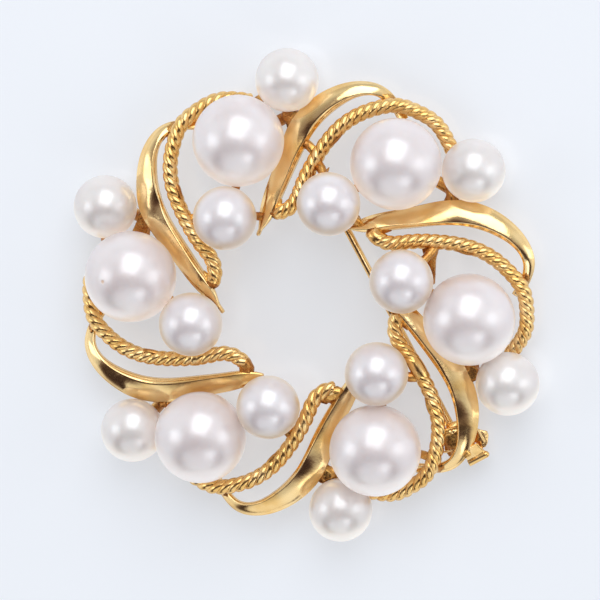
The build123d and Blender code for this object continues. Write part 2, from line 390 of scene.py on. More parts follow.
def bump(tree, height, distance):
    """The normal of a surface raised by a height, with the distance that a height of 1 stands for."""
    inputs = {"Height": height, "Strength": 1.0, "Distance": distance}
    return tree.node("ShaderNodeBump", {}, inputs)["Normal"]


# Colours
GOLD = (0.93, 0.675, 0.335, 1)
DEEP_GOLD = (0.79, 0.46, 0.135, 1)
GROOVE_GOLD = (0.66, 0.36, 0.10, 1)
TARNISH = (0.42, 0.17, 0.045, 1)
ROSE_NACRE = ((0.76, 0.68, 0.67, 1), (0.72, 0.62, 0.605, 1))
CREAM_NACRE = ((0.77, 0.715, 0.68, 1), (0.72, 0.645, 0.61, 1))
PALE_NACRE = ((0.74, 0.68, 0.68, 1), (0.70, 0.62, 0.62, 1))
# Painted reflection of the gold on the pearls' low side, in two colours, and the colour of a painted glow
# there
NACRE_PAINTED_REFLECTION = (0.92, 0.82, 0.68, 1)
NACRE_PAINTED_GOLD_REFLECTION = (0.70, 0.54, 0.36, 1)
NACRE_PAINTED_GLOW = (0.86, 0.84, 0.84, 1)
BLACK = (0, 0, 0, 1)
PIT_AMBER = (0.62, 0.34, 0.14, 1)

# The one large pearl with a pit, and the pixel where the photo shows it
PITTED_PEARL = "pearl_large_6"
PIT_PIXEL = (103.0, 282.0)


def polished_gold():
    """Ribbons: hand polished, a little wavy, with hairline scratches."""
    made, tree = material("polished gold")
    waves = noise(tree, 2.4 * MM, 1.0)
    dents = noise(tree, 0.8 * MM, 2.0)
    patina = noise(tree, 3.2 * MM, 3.0)
    stretched = tree.node(
        "ShaderNodeMapping", {}, {"Vector": object_place(tree), "Scale": (1, 0.12, 0.4)}
    )["Vector"]
    scratches = noise(tree, 0.05 * MM, 2.0, 0.6, stretched)
    grain = noise(tree, 0.13 * MM, 3.0)
    relief = waves * 1.5 + dents * 0.35 + grain * 0.05 + scratches * 0.012
    shader(
        tree,
        Base_Color=mix(tree, smooth_step(tree, patina, 0.35, 0.8), GOLD, DEEP_GOLD),
        Metallic=1.0,
        Roughness=smooth_step(tree, patina, 0.3, 0.75, 0.13, 0.22),
        Normal=bump(tree, relief, 0.045 * MM),
    )
    return made


def twisted_gold():
    """Twisted wires: bright on the crowns of the strands and dark between them."""
    made, tree = material("twisted gold")
    groove = smooth_step(tree, kept_number(tree, "crown"), 0.70, 0.94, 1.0, 0.0)
    patina = smooth_step(tree, noise(tree, 1.6 * MM, 3.0), 0.25, 0.65, 0.2, 0.9)
    colour = mix(tree, groove, mix(tree, patina, GOLD, DEEP_GOLD), GROOVE_GOLD)
    shader(
        tree,
        Base_Color=colour,
        Metallic=1.0,
        Roughness=smooth_step(tree, groove, 0.0, 1.0, 0.2, 0.38),
        Normal=bump(tree, noise(tree, 0.28 * MM, 3.0), 0.014 * MM),
    )
    return made


def solder_gold():
    """Cups, webs and the back: cast and soldered gold, less polished, darker in its pits."""
    made, tree = material("soldered gold")
    grain = noise(tree, 0.22 * MM, 4.0, 0.6)
    patches = noise(tree, 1.7 * MM, 3.0)
    colour = mix(tree, smooth_step(tree, patches, 0.3, 0.6), DEEP_GOLD, TARNISH)
    colour = mix(tree, smooth_step(tree, grain, 0.58, 0.8, 0.0, 0.6), colour, TARNISH)
    shader(
        tree,
        Base_Color=colour,
        Metallic=1.0,
        Roughness=smooth_step(tree, grain, 0.3, 0.8, 0.2, 0.42),
        Normal=bump(tree, grain * 0.5 + patches, 0.05 * MM),
    )
    return made


def nacre(name, tint, overtone, painted_reflection_share, cream=NACRE_PAINTED_REFLECTION, reach=(-0.5, 0.05), pit=None):
    """Pearls: cloudy nacre under a bright skin. Low down, where the gold shines on it, a painted reflection
    of the gold turns it creamy, as much as the given share says and over the reach of its low attribute,
    and a painted glow brightens the same side. A pit is a small amber flaw at a point."""
    made, tree = material(name)
    clouds = noise(tree, 3.0 * MM, 2.0)
    rings = noise(tree, 0.9 * MM, 2.0)
    low = kept_number(tree, "low")
    body = mix(tree, smooth_step(tree, clouds, 0.3, 0.7), tint, overtone)
    # Painted reflection of the gold: the low side is mixed over to a cream colour
    painted_reflection_mask = smooth_step(tree, low, *reach, 0.0, painted_reflection_share)
    colour = mix(tree, painted_reflection_mask, body, cream)
    relief = rings * 0.4 + clouds
    if pit is not None:
        gap = vector(tree, "DISTANCE", object_place(tree), pit)
        near = smooth_step(tree, gap, 0.07 * MM, 0.22 * MM, 1.0, 0.0)
        colour = mix(tree, near, colour, PIT_AMBER)
        relief = relief - near * 4
    shader(
        tree,
        Base_Color=colour,
        Roughness=smooth_step(tree, rings, 0.3, 0.7, 0.295, 0.325),
        Normal=bump(tree, relief, 0.006 * MM),
        # Painted glow: the low side gives off a faint pale light of its own
        Emission_Color=mix(tree, smooth_step(tree, low, -0.45, 0.25), BLACK, NACRE_PAINTED_GLOW),
        Emission_Strength=0.26,
        Coat_Weight=0.3,
        Coat_Roughness=0.22,
        Coat_IOR=1.55,
        IOR=3.0,
        Subsurface_Weight=0.4,
        Subsurface_Radius=(1.0, 0.75, 0.6),
        Subsurface_Scale=1.0 * MM,
    )
    return made


polished = polished_gold()
twisted = twisted_gold()
soldered = solder_gold()
# The number after the colours is how much painted reflection of the gold each kind of pearl gets low down
NACRES = {
    "large": nacre("rose nacre", *ROSE_NACRE, 0.35),
    "outer": nacre("cream nacre", *CREAM_NACRE, 0.75),
    "inner": nacre("pale nacre", *PALE_NACRE, 0.8, NACRE_PAINTED_GOLD_REFLECTION, (-0.72, -0.3)),
}
pitted = nacre("pitted nacre", *ROSE_NACRE, 0.35, pit=on_pearl(PITTED_PEARL, *PIT_PIXEL))


# Twisted wires


def stored(tree, geometry, name, value, kind="FLOAT"):
    """The geometry, keeping a value for each of its points."""
    return tree.node(
        "GeometryNodeStoreNamedAttribute",
        {"data_type": kind, "domain": "POINT"},
        {"Geometry": geometry, "Name": name, "Value": value},
    )["Geometry"]


def named(tree, name, kind="FLOAT"):
    """A value that the geometry keeps for each of its points."""
    return tree.node("GeometryNodeInputNamedAttribute", {"data_type": kind}, {"Name": name})["Attribute"]


def circle(tree, sides, radius):
    """The round section of a tube."""
    inputs = {"Resolution": sides, "Radius": radius}
    return tree.node("GeometryNodeCurvePrimitiveCircle", {}, inputs)["Curve"]


def tube(tree, curve, section, scale=None):
    """A closed tube along a curve."""
    inputs = {"Curve": curve, "Profile Curve": section, "Scale": scale, "Fill Caps": True}
    return tree.node("GeometryNodeCurveToMesh", {}, inputs)["Mesh"]


def wire_inputs(group):
    """The sockets of the node group for a wire, with their usual values."""
    face = group.interface
    face.new_socket("Line", in_out="INPUT", socket_type="NodeSocketGeometry")
    for name, kind, value in (
        ("Strands", "NodeSocketInt", STRANDS),
        ("Strand radius", "NodeSocketFloat", STRAND_RADIUS),
        ("Wire radius", "NodeSocketFloat", WIRE_RADIUS),
        ("Pitch", "NodeSocketFloat", min(PITCHES)),
        ("Core radius", "NodeSocketFloat", CORE_RADIUS),
        ("Start turn", "NodeSocketFloat", 0.0),
        ("Material", "NodeSocketMaterial", None),
    ):
        socket = face.new_socket(name, in_out="INPUT", socket_type=kind)
        if value is not None:
            socket.default_value = value
    face.new_socket("Wire", in_out="OUTPUT", socket_type="NodeSocketGeometry")


def laid_strands(tree, given, curve, taper):
    """Strands that go round the curve, each a tube that keeps the point of the curve it belongs to."""
    copies = tree.node(
        "GeometryNodeDuplicateElements",
        {"domain": "SPLINE"},
        {"Geometry": curve, "Amount": given["Strands"]},
    )
    here = tree.node("GeometryNodeInputPosition")["Position"]
    kept = stored(tree, copies["Geometry"], "axis", here, "FLOAT_VECTOR")
    length = tree.node("GeometryNodeSplineParameter")["Length"]
    turns = length / given["Pitch"] + copies["Duplicate Index"] / given["Strands"] + given["Start turn"]
    angle = turns * (-2 * pi)
    tangent = tree.node("GeometryNodeInputTangent")["Tangent"]
    normal = tree.node("GeometryNodeInputNormal")["Normal"]
    side = vector(tree, "CROSS_PRODUCT", tangent, normal)
    lay = (given["Wire radius"] - given["Strand radius"]) * taper
    along_normal = vector(tree, "SCALE", normal, scale=maths(tree, "COSINE", angle) * lay)
    along_side = vector(tree, "SCALE", side, scale=maths(tree, "SINE", angle) * lay)
    offset = vector(tree, "ADD", along_normal, along_side)
    laid = tree.node("GeometryNodeSetPosition", {}, {"Geometry": kept, "Offset": offset})["Geometry"]
    return tube(tree, laid, circle(tree, STRAND_SIDES, given["Strand radius"]))


def strand_tree():
    """Geometry nodes that lay strands round a line, over a core that swells where solder fills the grooves,
    and wear their crowns flat."""
    group = bpy.data.node_groups.new("twisted wire", "GeometryNodeTree")
    wire_inputs(group)
    tree = Tree(group)
    given = tree.node("NodeGroupInput")
    curve = tree.node("GeometryNodeMeshToCurve", {}, {"Mesh": given["Line"]})["Curve"]
    spacing = {"Curve": curve, "Length": min(PITCHES) / STEPS_PER_TURN}
    curve = tree.node("GeometryNodeResampleCurve", {"mode": "LENGTH"}, spacing)["Curve"]
    curve = tree.node("GeometryNodeSetCurveNormal", {"mode": "MINIMUM_TWIST"}, {"Curve": curve})["Curve"]
    taper = named(tree, "taper")
    fill = named(tree, "fill")
    strands = laid_strands(tree, given, curve, taper)
    here = tree.node("GeometryNodeInputPosition")["Position"]
    core_curve = stored(tree, curve, "axis", here, "FLOAT_VECTOR")
    core_size = (given["Core radius"] + (given["Wire radius"] - given["Core radius"]) * fill) / MM
    core = tube(tree, core_curve, circle(tree, CORE_SIDES, 1 * MM), core_size * taper)
    both = tree.node("GeometryNodeJoinGeometry")
    for part in (core, strands):
        tree.tree.links.new(part.socket, both.made.inputs[0])

    axis = named(tree, "axis", "FLOAT_VECTOR")
    out = vector(tree, "SUBTRACT", here, axis)
    reach = vector(tree, "LENGTH", out)
    worn = maths(tree, "SMOOTH_MIN", reach, given["Wire radius"] * WORN_AT, WORN_SOFTLY)
    shape = stored(tree, both["Geometry"], "crown", reach / given["Wire radius"] + fill * 0.5)
    moved = vector(tree, "ADD", axis, vector(tree, "SCALE", out, scale=worn / (reach + 1e-9)))
    shape = tree.node("GeometryNodeSetPosition", {}, {"Geometry": shape, "Position": moved})["Geometry"]
    shape = tree.node("GeometryNodeSetShadeSmooth", {}, {"Geometry": shape})["Geometry"]
    shape = tree.node("GeometryNodeRealizeInstances", {}, {"Geometry": shape})["Geometry"]
    done = tree.node("GeometryNodeSetMaterial", {}, {"Geometry": shape, "Material": given["Material"]})
    tree.node("NodeGroupOutput", {}, {"Wire": done["Geometry"]})
    return group


def set_input(modifier, name, value):
    """Sets a named input of a Geometry Nodes modifier by its identifier."""
    for item in modifier.node_group.interface.items_tree:
        if item.in_out == "INPUT" and item.name == name:
            modifier[item.identifier] = value


# For each wire: where along it solder fills the grooves, as centre, half length and how much
FILLED = [
    [(0.24, 0.06, 0.85), (0.05, 0.05, 0.9)],
    [(0.14, 0.03, 0.4), (0.05, 0.04, 0.8)],
    [(0.07, 0.05, 1.0), (0.22, 0.03, 0.4)],
    [(0.27, 0.085, 1.05), (0.04, 0.05, 0.9)],
    [(0.05, 0.05, 0.7), (0.45, 0.03, 0.4)],
    [(0.245, 0.028, 1.1), (0.05, 0.03, 0.7)],
]
# The fine wires start a little later along their line than the bars of the solid, whose ends are solder.
# The strands of each wire start this share of a turn further round than those of the wire before.
WIRE_START = 0.045
TURN_PER_WIRE = 0.17
# The crowns are worn flat at this share of the wire's radius, softly over this length
WORN_AT = 1.01
WORN_SOFTLY = 0.02 * MM


def wire_mesh(line, shares, filled):
    """The line of one wire as a mesh of edges, with how thick it is and how far solder fills it."""
    along = np.linspace(0, 1, len(line))
    used = along >= WIRE_START
    mesh = bpy.data.meshes.new("line")
    mesh.from_pydata([tuple(p) for p in line[used]], [(k, k + 1) for k in range(used.sum() - 1)], [])
    fill = np.zeros(len(line))
    for centre, half, much in filled:
        fill = np.maximum(fill, much * np.exp(-(((along - centre) / half) ** 2)))
    store(mesh, "fill", fill[used])
    store(mesh, "taper", np.clip(shares, 0, 1)[used])
    return mesh


strands = strand_tree()
wire_line, wire_shares = leaf_line(WIRE_STATIONS, WIRE_TOP, WIRE_STEPS)
wire_lines = [placed(wire_line, i, WIRE_STRAYS[i]) for i in range(UNIT_COUNT)]
for i, line in enumerate(wire_lines):
    line_object = link("line", wire_mesh(line, wire_shares[:, 0], FILLED[i]))
    modifier = line_object.modifiers.new("twist", "NODES")
    modifier.node_group = strands
    set_input(modifier, "Start turn", TURN_PER_WIRE * i)
    set_input(modifier, "Pitch", PITCHES[i])
    set_input(modifier, "Material", twisted)
    give(finished(line_object, f"twisted_wire_{i + 1}"), twisted, "wreath", "gold", "wreath_frame")


# Ribbons

# How many points their top has across, where its ridge lies between their middle and their inner edge,
# and how far the ridge sways to both sides, both as shares of half their width
TOP_POINTS = 30
CREST = -0.68
CREST_SWAY = 0.12
# How far their top drops from the ridge to its outer and its inner edge, and how low their underside
# lies, as shares of their thickness
OUTER_DROP = 0.64
INNER_DROP = 0.46
UNDERSIDE = -0.35
# How wide a tip starts, and how much wider it may get over its first millimetre, as shares of RIBBON_WIDTH
TIP_WIDTH = 0.13
TIP_GROWTH = 0.53


def ribbon_profile(outer, inner, thick, crest, scoop):
    """The closed section of a ribbon: a ridge near the inner edge, a broad outer face, a flat underside."""
    edge = min(RIBBON_EDGE, 0.4 * inner)
    points = []
    ridge = (outer + inner) / 2 * crest + (outer - inner) / 2
    for a in np.linspace(-inner + edge, outer - edge, TOP_POINTS):
        if a > ridge:
            share = (a - ridge) / (outer - ridge)
            drop = OUTER_DROP * share**2.5 + scoop * share * (1 - share) * 3
        else:
            share = (ridge - a) / (inner + ridge)
            drop = INNER_DROP * share**2.2
        points.append((a, thick * (0.5 - drop)))
    low, high = points[-1][1], points[0][1]
    floor = min(UNDERSIDE * thick, low - 2.2 * edge)
    points += [(outer - edge * 0.3, low - edge * 0.3), (outer, low - edge), (outer, floor + edge)]
    points += [(outer - edge * 0.3, floor + edge * 0.3), (outer - edge, floor), (-inner + edge, floor)]
    points += [(-inner + edge * 0.3, floor + edge * 0.3), (-inner, floor + edge), (-inner, high - edge)]
    points += [(-inner + edge * 0.3, high - edge * 0.3)]
    return points


class Forging(NamedTuple):
    """How one ribbon was forged. Places and half lengths are shares of its length, from its inner tip."""

    # The share of the tip that is left off, or added where it is below 0
    cut: float
    # How many degrees its face leans outward
    lean: float
    # Where its face leans otherwise: place, half length and degrees
    twists: list
    # Where its outer face is hollowed: place, half length and depth
    hollows: list
    # How its ridge sways: turns and start
    sway: tuple


FORGED = [
    Forging(-0.045, 11.0, [(0.52, 0.06, -12.0)], [(0.62, 0.07, 0.12), (0.82, 0.10, -0.05)], (1.1, 0.15)),
    Forging(-0.03, 11.0, [(0.47, 0.07, -15.0)], [(0.30, 0.08, 0.10), (0.70, 0.12, -0.06)], (1.4, 0.55)),
    Forging(
        0.0,
        12.0,
        [(0.20, 0.10, 9.0), (0.45, 0.07, -8.0)],
        [(0.25, 0.06, 0.10), (0.52, 0.12, -0.06)],
        (1.2, 0.35),
    ),
    Forging(0.0, 11.0, [(0.62, 0.06, -6.0)], [(0.50, 0.10, 0.10), (0.28, 0.06, 0.08)], (1.5, 0.80)),
    Forging(0.02, 13.0, [(0.44, 0.07, -14.0)], [(0.45, 0.09, 0.10), (0.75, 0.08, 0.06)], (1.1, 0.05)),
    Forging(0.0, 10.0, [(0.60, 0.08, -3.0)], [(0.48, 0.06, 0.14), (0.66, 0.05, 0.12)], (1.3, 0.62)),
]


def ribbon_mesh(name, line, reach, forged):
    """A ribbon along a line: its face leans down on the outside and is forged a little uneven."""
    cut, degrees, twists, hollows, (turns, start) = forged
    added = max(0, int(-cut * len(line)))
    before = line[0] + (line[0] - line[1]) * np.arange(added, 0, -1)[:, None]
    line = np.concatenate([before, line])
    reach = np.concatenate([np.repeat(reach[:1], added, axis=0), reach])
    ahead = np.gradient(line, axis=0)
    length = np.cumsum(np.linalg.norm(ahead, axis=1))
    ahead /= np.linalg.norm(ahead, axis=1)[:, None]
    outward = np.cross((0, 0, 1), ahead)
    outward /= np.linalg.norm(outward, axis=1)[:, None]
    upward = np.cross(ahead, outward)
    along = length / length[-1]
    for centre, half, more in twists:
        degrees = degrees + more * np.exp(-(((along - centre) / half) ** 2))
    lean = np.radians(degrees)[:, None]
    sideways = outward * np.cos(lean) - upward * np.sin(lean)
    facing = upward * np.cos(lean) + outward * np.sin(lean)
    kept = [k for k in range(len(line)) if along[k] >= cut]
    points = []
    for k in kept:
        tip = (length[k] - length[kept[0]]) / MM
        narrow = min(1.0, (TIP_WIDTH + TIP_GROWTH * tip**0.7) / max(reach[k].sum(), 0.2))
        outer, inner = RIBBON_WIDTH * reach[k] * narrow
        end = sin(pi * min(1.0, 3 * along[k], 3 * (1 - along[k])) / 2)
        crest = CREST + CREST_SWAY * end * sin(2 * pi * (turns * along[k] + start))
        scoop = sum(much * np.exp(-(((along[k] - centre) / half) ** 2)) for centre, half, much in hollows)
        thick = RIBBON_THICKNESS * min(1.0, max(reach[k].sum(), 0.5))
        profile = ribbon_profile(outer, inner, thick, crest, scoop)
        points += [line[k] + sideways[k] * a + facing[k] * b for a, b in profile]
    n = len(profile)
    faces = []
    for k in range(len(kept) - 1):
        for j in range(n):
            a, b = k * n + j, k * n + (j + 1) % n
            faces.append((a, a + n, b + n, b))
    faces.append(tuple(range(n)))
    faces.append(tuple(range(len(kept) * n - 1, (len(kept) - 1) * n - 1, -1)))
    return plain_mesh(name, points, faces)


# The fifth ribbon bends away under a pearl towards its tip: how far at its end, over how much of its
# length, and how near to it the soldered gold goes along
BENT_RIBBON = 4
BENT_BY = (RIGHT * 17 - UP * 5) * PHOTO_SCALE
BENT_STEPS = int(0.36 * RIBBON_STEPS)
BENT_REACH = 1.1 * MM

ribbon_line, ribbon_reach = leaf_line(RIBBON_STATIONS, RIBBON_TOP, RIBBON_STEPS)
ribbon_lines = [placed(ribbon_line, i, RIBBON_STRAYS[i]) for i in range(UNIT_COUNT)]
straight_tip = ribbon_lines[BENT_RIBBON][:BENT_STEPS].copy()
bend = np.outer((1 - np.arange(BENT_STEPS) / BENT_STEPS) ** 1.5, BENT_BY)
ribbon_lines[BENT_RIBBON][:BENT_STEPS] += bend
ribbons = []
for i, line in enumerate(ribbon_lines):
    mesh = ribbon_mesh(f"ribbon_{i + 1}", line, ribbon_reach, FORGED[i])
    ribbons.append(give(link(mesh.name, mesh), polished, "wreath", "gold", "wreath_frame"))


# Soldered gold: cups, posts, webs, feet, hinge ears and the catch shell

# How deep the frame's own wires sink under the fine ones, how near to a wire's line, over how much of
# that reach they sink softly, from which share of its length on, and how much of the way to it at most
WIRE_SINK = 0.36 * MM
WIRE_REACH = WIRE_RADIUS * 1.7
WIRE_SOFTENING = WIRE_RADIUS * 0.55
SINK_FROM = 0.085
SINK_AT_MOST = 0.7
# How deep the frame's own ribbons sink under the fine ones, and how near to them
RIBBON_SINK = 0.16 * MM
RIBBON_REACH = 0.34 * MM
# How big the cubes are that the solder's skin is made of, and the share of its triangles that is kept
SOLDER_VOXEL = 0.11 * MM
SOLDER_KEPT = 0.42
# Solder between the start of a wire and the tip of its ribbon, at a share of the ribbon's length: lumps,
# each with its share of the way and its radius in millimetres. They are flat and lie a little low.
RIBBON_JOINT = 0.07
JOINT_LUMPS = [(0.0, 0.60), (0.35, 0.56), (0.7, 0.5)]
JOINT_HALF = 0.5 * MM
JOINT_DROP = 0.1 * MM
# Gussets of solder between the leaves and the cups: pixels of the photo and heights in millimetres
GUSSET_HALF = 0.28 * MM
GUSSETS = [
    [(420, 246, 3.6), (440, 246, 3.6), (436, 259, 3.3), (435, 284, 3.0), (430, 286, 3.0), (427, 262, 3.3)],
    [(130, 234, 2.5), (140, 212, 2.7), (150, 220, 2.7), (145, 235, 2.6)],
    [(318, 178, 3.3), (330, 166, 3.3), (326, 180, 3.3)],
    [(321, 470, 2.6), (330, 466, 2.6), (339, 480, 2.4), (327, 484, 2.4)],
    [(445, 438, 2.1), (462, 434, 2.1), (463, 448, 2.0), (458, 455, 2.0), (450, 457, 2.0), (445, 450, 2.0)],
]
# A strut by the first outer pearl lies closer in: its pixel and height, how far round it the shift
# reaches, and the shift in pixels
PUSHED = [(252, 91, 1.8, 1.3, 7, 7)]
# Small parts of the catch, polished: plates, lumps as pixel, height and radius, and rods between two
# pixels at their heights, with a radius. Heights and radii are in millimetres.
CATCH_VOXEL = 0.05 * MM
CATCH_PLATES = [
    [(446, 423.5, 2.8), (459, 420, 2.8), (460, 429, 3.2), (453, 434, 3.3), (447, 431, 3.2)],
    [(460, 452, 3.0), (477, 443, 2.8), (486, 452, 2.1), (470, 462, 2.1)],
]
CATCH_LUMPS = [
    (453.5, 431, 3.35, 0.2),
    (457.5, 436.5, 3.15, 0.13),
    (458.5, 440, 3.1, 0.13),
    (486, 454.5, 2.3, 0.3),
]
CATCH_RODS = [((444, 452.5, 2.9), (461, 447.5, 2.9), 0.11), ((469, 463.5, 2.3), (486, 454.5, 2.3), 0.3)]


def gusset(shell, corners):
    """A thick plate between corners that are given as pixels of the photo and heights."""
    points = [photo_point(x, y, z * MM) for x, y, z in corners]
    low = [shell.verts.new(p - Vector((0, 0, GUSSET_HALF))) for p in points]
    high = [shell.verts.new(p + Vector((0, 0, GUSSET_HALF))) for p in points]
    shell.faces.new(high)
    shell.faces.new(low[::-1])
    joined_rings(shell, low, high)


def softened(shell, name, voxel, rounds):
    """The shapes of a bmesh as one closed skin with worn corners."""
    source = bpy.data.meshes.new(name)
    shell.to_mesh(source)
    shell.free()
    obj = link(name, source)
    remesh = obj.modifiers.new("remesh", "REMESH")
    remesh.mode = "VOXEL"
    remesh.voxel_size = voxel
    soften = obj.modifiers.new("soften", "SMOOTH")
    soften.factor = 0.5
    soften.iterations = rounds
    obj = finished(obj, name)
    obj.data.shade_smooth()
    return obj


def catch_part():
    """The small polished parts of the safety catch, which are soldered to its shell."""
    shell = bmesh.new()
    for corners in CATCH_PLATES:
        gusset(shell, corners)
    for x, y, z, size in CATCH_LUMPS:
        lump = Matrix.Translation(photo_point(x, y, z * MM))
        bmesh.ops.create_icosphere(shell, subdivisions=3, radius=size * MM, matrix=lump)
    for start, end, size in CATCH_RODS:
        start, end = [photo_point(x, y, z * MM) for x, y, z in (start, end)]
        turn = (end - start).to_track_quat("Z", "Y").to_matrix().to_4x4()
        bmesh.ops.create_cone(
            shell,
            cap_ends=True,
            segments=20,
            radius1=size * MM,
            radius2=size * MM,
            depth=(end - start).length,
            matrix=Matrix.Translation((start + end) / 2) @ turn,
        )
    return softened(shell, "catch_fittings", CATCH_VOXEL, 5)


def add_joint_lumps(shell):
    """Solder where each wire starts beside its ribbon's tip."""
    for wire, ribbon in zip(wire_lines, ribbon_lines):
        start = wire[int(WIRE_START * len(wire))]
        tip = ribbon[int(RIBBON_JOINT * len(ribbon))]
        for share, size in JOINT_LUMPS:
            centre = start + (tip - start) * share - np.array((0, 0, JOINT_DROP))
            lump = Matrix.Translation(centre) @ Matrix.Diagonal((size * MM, size * MM, JOINT_HALF, 1))
            bmesh.ops.create_icosphere(shell, subdivisions=3, radius=1, matrix=lump)


def shift_solder(mesh):
    """Takes the solder along with the bent ribbon, and pushes the strut that lies closer in."""
    for vertex in mesh.vertices:
        gaps = np.linalg.norm(straight_tip - np.array(vertex.co), axis=1)
        if gaps.min() < BENT_REACH:
            vertex.co += Vector(bend[gaps.argmin()])
        for x, y, z, size, shift_x, shift_y in PUSHED:
            spot = photo_point(x, y, z * MM)
            share = 1 - ((vertex.co - spot).length / (size * MM)) ** 2
            if share > 0:
                vertex.co += (RIGHT * shift_x - UP * shift_y) * (PHOTO_SCALE * share)


def sink_solder(mesh):
    """Sinks the frame's own wires and ribbons under the fine ones."""
    strands_laid = [line[int(SINK_FROM * len(line)) :] for line in wire_lines]
    lines = KDTree(sum(len(line) for line in strands_laid))
    for point in np.concatenate(strands_laid):
        lines.insert(Vector(point), 0)
    lines.balance()
    covers = []
    for ribbon in ribbons:
        cover = bmesh.new()
        cover.from_mesh(ribbon.data)
        covers.append(BVHTree.FromBMesh(cover))
        cover.free()
    sunk = []
    for vertex in mesh.vertices:
        point, _, gap = lines.find(vertex.co)
        if gap < WIRE_REACH:
            depth = WIRE_SINK * min(1.0, (WIRE_REACH - gap) / WIRE_SOFTENING)
            sunk.append(vertex.co + (point - vertex.co).normalized() * min(depth, gap * SINK_AT_MOST))
            continue
        shift = Vector()
        for cover in covers:
            hit, normal, _, gap = cover.find_nearest(vertex.co, RIBBON_REACH)
            if hit is None:
                continue
            above = (vertex.co - hit).dot(normal)
            if above < 0:
                deeper = max(0.0, RIBBON_SINK + above)
            else:
                deeper = (RIBBON_SINK + above) * max(0.0, min(1.0, 2 * normal.dot(vertex.normal)))
            if deeper > shift.length:
                shift = normal * deeper
        sunk.append(vertex.co - shift)
    mesh.vertices.foreach_set("co", np.array(sunk, np.float32).ravel())
    mesh.update()


def soldered_part():
    """The frame's solid with soft soldered corners, sunk under the ribbons and wires that lie over it."""
    shell = bmesh.new()
    shell.from_mesh(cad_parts["wreath_frame"].data)
    bmesh.ops.remove_doubles(shell, verts=shell.verts, dist=SAME_POINT)
    add_joint_lumps(shell)
    for corners in GUSSETS:
        gusset(shell, corners)
    obj = softened(shell, "softened_frame", SOLDER_VOXEL, 2)
    shift_solder(obj.data)
    sink_solder(obj.data)
    obj.modifiers.new("fewer", "DECIMATE").ratio = SOLDER_KEPT
    obj = finished(obj, "soldered_frame")
    obj.data.shade_smooth()
    return obj


give(soldered_part(), soldered, "wreath", "gold", "wreath_frame")
give(catch_part(), polished, "wreath", "gold", "wreath_frame")


# Pearls: each way points away from the side that gets the most painted reflection of the gold and painted
# glow
GLOW_WAY = (SIGHT * 0.82 + UP * 0.57).normalized()
HIGH_GLOW_WAY = (SIGHT * 0.99 + UP * 0.12).normalized()
GLOW_WAYS = {"large": GLOW_WAY, "outer": GLOW_WAY, "inner": HIGH_GLOW_WAY}
# How many squares a side of a pearl has, how far the pearl is out of round, and how far its skin lies
# inside the solid's, as shares of its radius
PEARL_STEPS = 26
OUT_OF_ROUND = 0.0024
SKIN_INSIDE = 0.002


def ball(name, centre, radius, glow_way, seed):
    """A pearl: a ball of even squares, a little out of round as real pearls are."""
    shell = bmesh.new()
    bmesh.ops.create_cube(shell, size=2)
    bmesh.ops.subdivide_edges(shell, edges=shell.edges, cuts=PEARL_STEPS - 1, use_grid_fill=True)
    rng = np.random.default_rng(seed)
    squash = rng.normal(0, OUT_OF_ROUND, (3, 3))
    for vertex in shell.verts:
        x, y, z = (v * pi / 4 for v in vertex.co)
        x, y, z = np.tan(x), np.tan(y), np.tan(z)
        way = Vector((x, y, z)).normalized()
        share = 1 + float(np.array(way) @ squash @ np.array(way)) - SKIN_INSIDE
        vertex.co = centre + way * radius * min(share, 1.0)
    mesh = bpy.data.meshes.new(name)
    shell.to_mesh(mesh)
    shell.free()
    # How far each point lies towards the side with the painted reflection and painted glow, as a share of
    # the radius
    store(mesh, "low", [(centre - vertex.co).dot(glow_way) / radius for vertex in mesh.vertices])
    mesh.shade_smooth()
    return mesh


for kind in ("large", "outer", "inner"):
    for i in range(UNIT_COUNT):
        node = f"pearl_{kind}_{i + 1}"
        centre, radius = pearl_round(node)
        mesh = ball(f"nacre_{kind}_{i + 1}", centre, radius, GLOW_WAYS[kind], 10 * i + len(kind))
        skin = pitted if node == PITTED_PEARL else NACRES[kind]
        give(link(mesh.name, mesh), skin, "wreath", "pearl", node)


# Catch lever: its slotted roller and its tab, with the edges worn round and the tab bent down a little
LEVER_VOXEL = 0.045 * MM
PIN_HEIGHT = 1.8 * MM
HINGE_POINT = polar(75.4, RING * 0.561, PIN_HEIGHT) - MIDDLE
CATCH_POINT = polar(-44.1, RING * 1.232, PIN_HEIGHT) - MIDDLE
PIN_WAY = (CATCH_POINT - HINGE_POINT).normalized()
ACROSS = Vector((0, 0, 1)).cross(PIN_WAY)
# The tab's outline in millimetres: across the pin and along it, from the roller's middle
TAB_OUTLINE = [
    (0.7, -0.58),
    (1.5, -0.58),
    (2.1, 0.0),
    (2.40, 0.25),
    (2.36, 0.6),
    (2.0, 1.15),
    (1.72, 1.34),
    (1.3, 1.3),
    (1.2, 0.62),
    (0.7, 0.58),
]
TAB_HALF = 0.17 * MM
TAB_START = 1.2
TAB_DROOP = 0.14


def tab_ring(shell, half):
    """The points of one face of the tab, which droops towards its tip."""
    points = []
    for across, along in TAB_OUTLINE:
        drop = TAB_DROOP * max(0.0, across - TAB_START) ** 2 * MM
        flat = CATCH_POINT + ACROSS * (across * MM) + PIN_WAY * (along * MM)
        points.append(shell.verts.new(flat + Vector((0, 0, half - drop))))
    return points


def lever_part():
    """The lever's solid with its longer tab, all its edges worn round."""
    shell = bmesh.new()
    shell.from_mesh(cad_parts["catch_lever"].data)
    bmesh.ops.remove_doubles(shell, verts=shell.verts, dist=SAME_POINT)
    low = tab_ring(shell, -TAB_HALF)
    high = tab_ring(shell, TAB_HALF)
    shell.faces.new(low[::-1])
    shell.faces.new(high)
    joined_rings(shell, low, high)
    bmesh.ops.recalc_face_normals(shell, faces=shell.faces)
    return softened(shell, "worn_lever", LEVER_VOXEL, 8)


